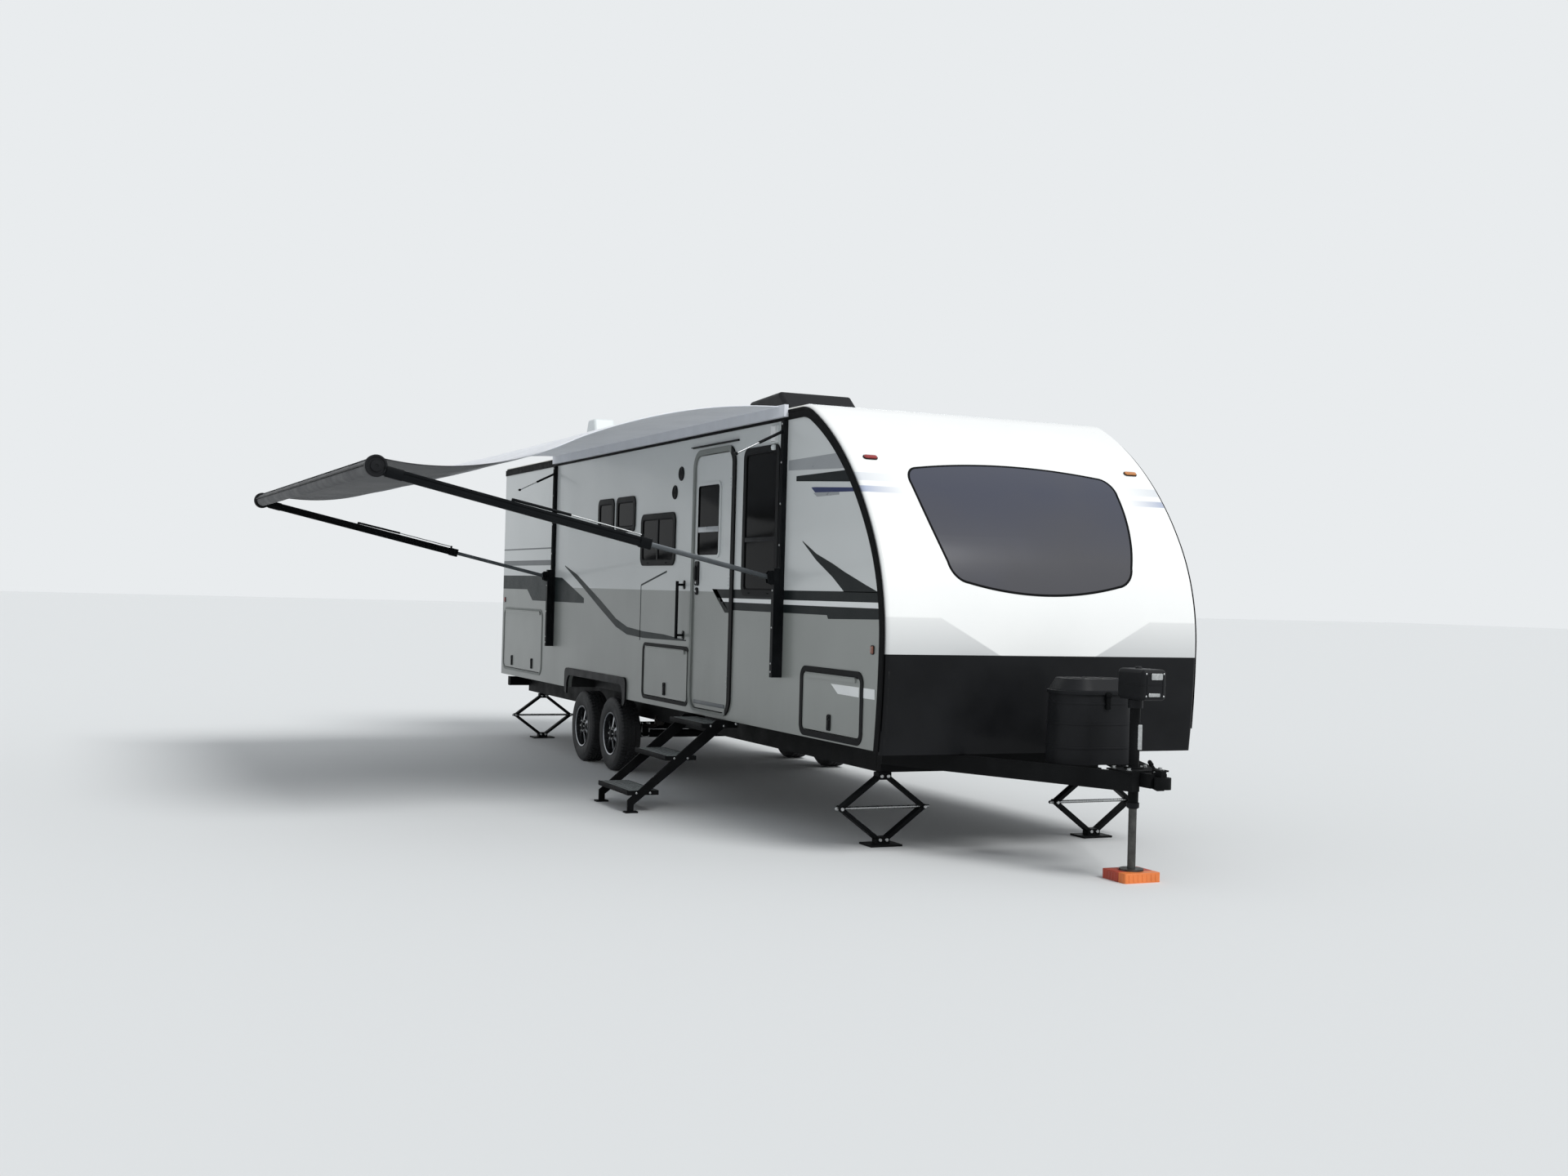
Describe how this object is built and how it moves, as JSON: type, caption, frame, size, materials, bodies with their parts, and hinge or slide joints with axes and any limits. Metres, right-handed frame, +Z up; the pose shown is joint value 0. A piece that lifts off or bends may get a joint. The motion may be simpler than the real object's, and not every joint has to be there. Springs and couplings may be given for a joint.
{
  "type": "travel caravan",
  "caption": "Long box-bodied towed caravan with a rounded nose, tandem wheels, side door, luggage hatches, roller awning out, standing on its tongue jack.",
  "frame": {"origin": "on the ground at the middle of the tongue jack's pad, on the centre plane", "axes": "+X forward along the drawbar, +Y to the left, +Z up"},
  "size_m": [10.85, 5.4719, 3.4394],
  "materials": {
    "alloy_dark": "machined and dark lacquer",
    "awning_black": "powder coat",
    "awning_cloth": "coated weave",
    "bright_steel": "zinc plated",
    "cap_white": "gloss gel coat",
    "chassis_black": "black enamel",
    "dark_glass": "tinted",
    "deck_grey": "dull",
    "lamp_red": "moulded lens",
    "mask_charcoal": "gloss charcoal",
    "pad_orange": "moulded",
    "roof_white": "roof membrane",
    "trim_black": "satin",
    "tyre": "matt rubber",
    "unit_black": "moulded shroud",
    "vent_white": "moulded",
    "wall_panel": "smooth laminated panel with coloured bands"
  },
  "bodies": {
    "root": {"air_conditioner": "unit_black", "awning_arms": "awning_black", "awning_fabric": "awning_cloth", "awning_rails": "awning_black", "awning_roller": "awning_black", "axles": "chassis_black", "coupler": "chassis_black", "cross_members": "chassis_black", "edge_mouldings": "trim_black", "entry_steps": "chassis_black", "fender_skirts": "trim_black", "floor_deck": "deck_grey", "front_cap": "cap_white", "front_mask": "mask_charcoal", "gas_bottle_cover": "unit_black", "grab_handle": "trim_black", "jack_column": "chassis_black", "jack_head": "unit_black", "jack_pad": "pad_orange", "lamps": "lamp_red", "leaf_springs": "chassis_black", "main_rails": "chassis_black", "opening_frames": "trim_black", "rear_bumper": "chassis_black", "rear_wall": "wall_panel", "roof_panel": "roof_white", "roof_vents": "vent_white", "side_wall_left": "wall_panel", "side_wall_right": "wall_panel", "stabilisers": "chassis_black", "tongue_beams": "chassis_black", "wheel_boxes": "deck_grey", "window_panes": "dark_glass", "windshield": "dark_glass"},
    "entry_door": {"entry_door": "wall_panel", "entry_door_pane": "dark_glass"},
    "hatch_front_right": {"hatch_front_right": "wall_panel"},
    "hatch_front_left": {"hatch_front_left": "wall_panel"},
    "hatch_mid_right": {"hatch_mid_right": "wall_panel"},
    "hatch_rear_right": {"hatch_rear_right": "wall_panel"},
    "jack_ram": {"jack_ram": "bright_steel"},
    "wheel_front_right": {"tyre_front_right": "tyre", "rim_front_right": "alloy_dark"},
    "wheel_front_left": {"tyre_front_left": "tyre", "rim_front_left": "alloy_dark"},
    "wheel_rear_right": {"tyre_rear_right": "tyre", "rim_rear_right": "alloy_dark"},
    "wheel_rear_left": {"tyre_rear_left": "tyre", "rim_rear_left": "alloy_dark"}
  },
  "joints": [
    {"name": "entry_door_swing", "type": "hinge", "parent": "root", "child": "entry_door", "pos_m": [-3.596, -1.232, 1.78], "axis": [0, 0, 1], "range_deg": [0, 165]},
    {"name": "hatch_front_right_lift", "type": "hinge", "parent": "root", "child": "hatch_front_right", "pos_m": [-1.77, -1.232, 1.1535], "axis": [-1, 0, 0], "range_deg": [0, 100]},
    {"name": "hatch_front_left_lift", "type": "hinge", "parent": "root", "child": "hatch_front_left", "pos_m": [-1.77, 1.232, 1.1535], "axis": [1, 0, 0], "range_deg": [0, 100]},
    {"name": "hatch_mid_right_lift", "type": "hinge", "parent": "root", "child": "hatch_mid_right", "pos_m": [-5.02, -1.232, 1.2035], "axis": [-1, 0, 0], "range_deg": [0, 100]},
    {"name": "hatch_rear_right_lift", "type": "hinge", "parent": "root", "child": "hatch_rear_right", "pos_m": [-9.55, -1.232, 1.4335], "axis": [-1, 0, 0], "range_deg": [0, 95]},
    {"name": "wheel_front_right_spin", "type": "hinge", "parent": "root", "child": "wheel_front_right", "pos_m": [-6.5, -1.102, 0.345], "axis": [0, 1, 0], "continuous": true},
    {"name": "wheel_front_left_spin", "type": "hinge", "parent": "root", "child": "wheel_front_left", "pos_m": [-6.5, 1.102, 0.345], "axis": [0, 1, 0], "continuous": true},
    {"name": "wheel_rear_right_spin", "type": "hinge", "parent": "root", "child": "wheel_rear_right", "pos_m": [-7.38, -1.102, 0.345], "axis": [0, 1, 0], "continuous": true},
    {"name": "wheel_rear_left_spin", "type": "hinge", "parent": "root", "child": "wheel_rear_left", "pos_m": [-7.38, 1.102, 0.345], "axis": [0, 1, 0], "continuous": true},
    {"name": "jack_ram_slide", "type": "slide", "parent": "root", "child": "jack_ram", "axis": [0, 0, 1], "range_m": [0, 0.32]}
  ]
}
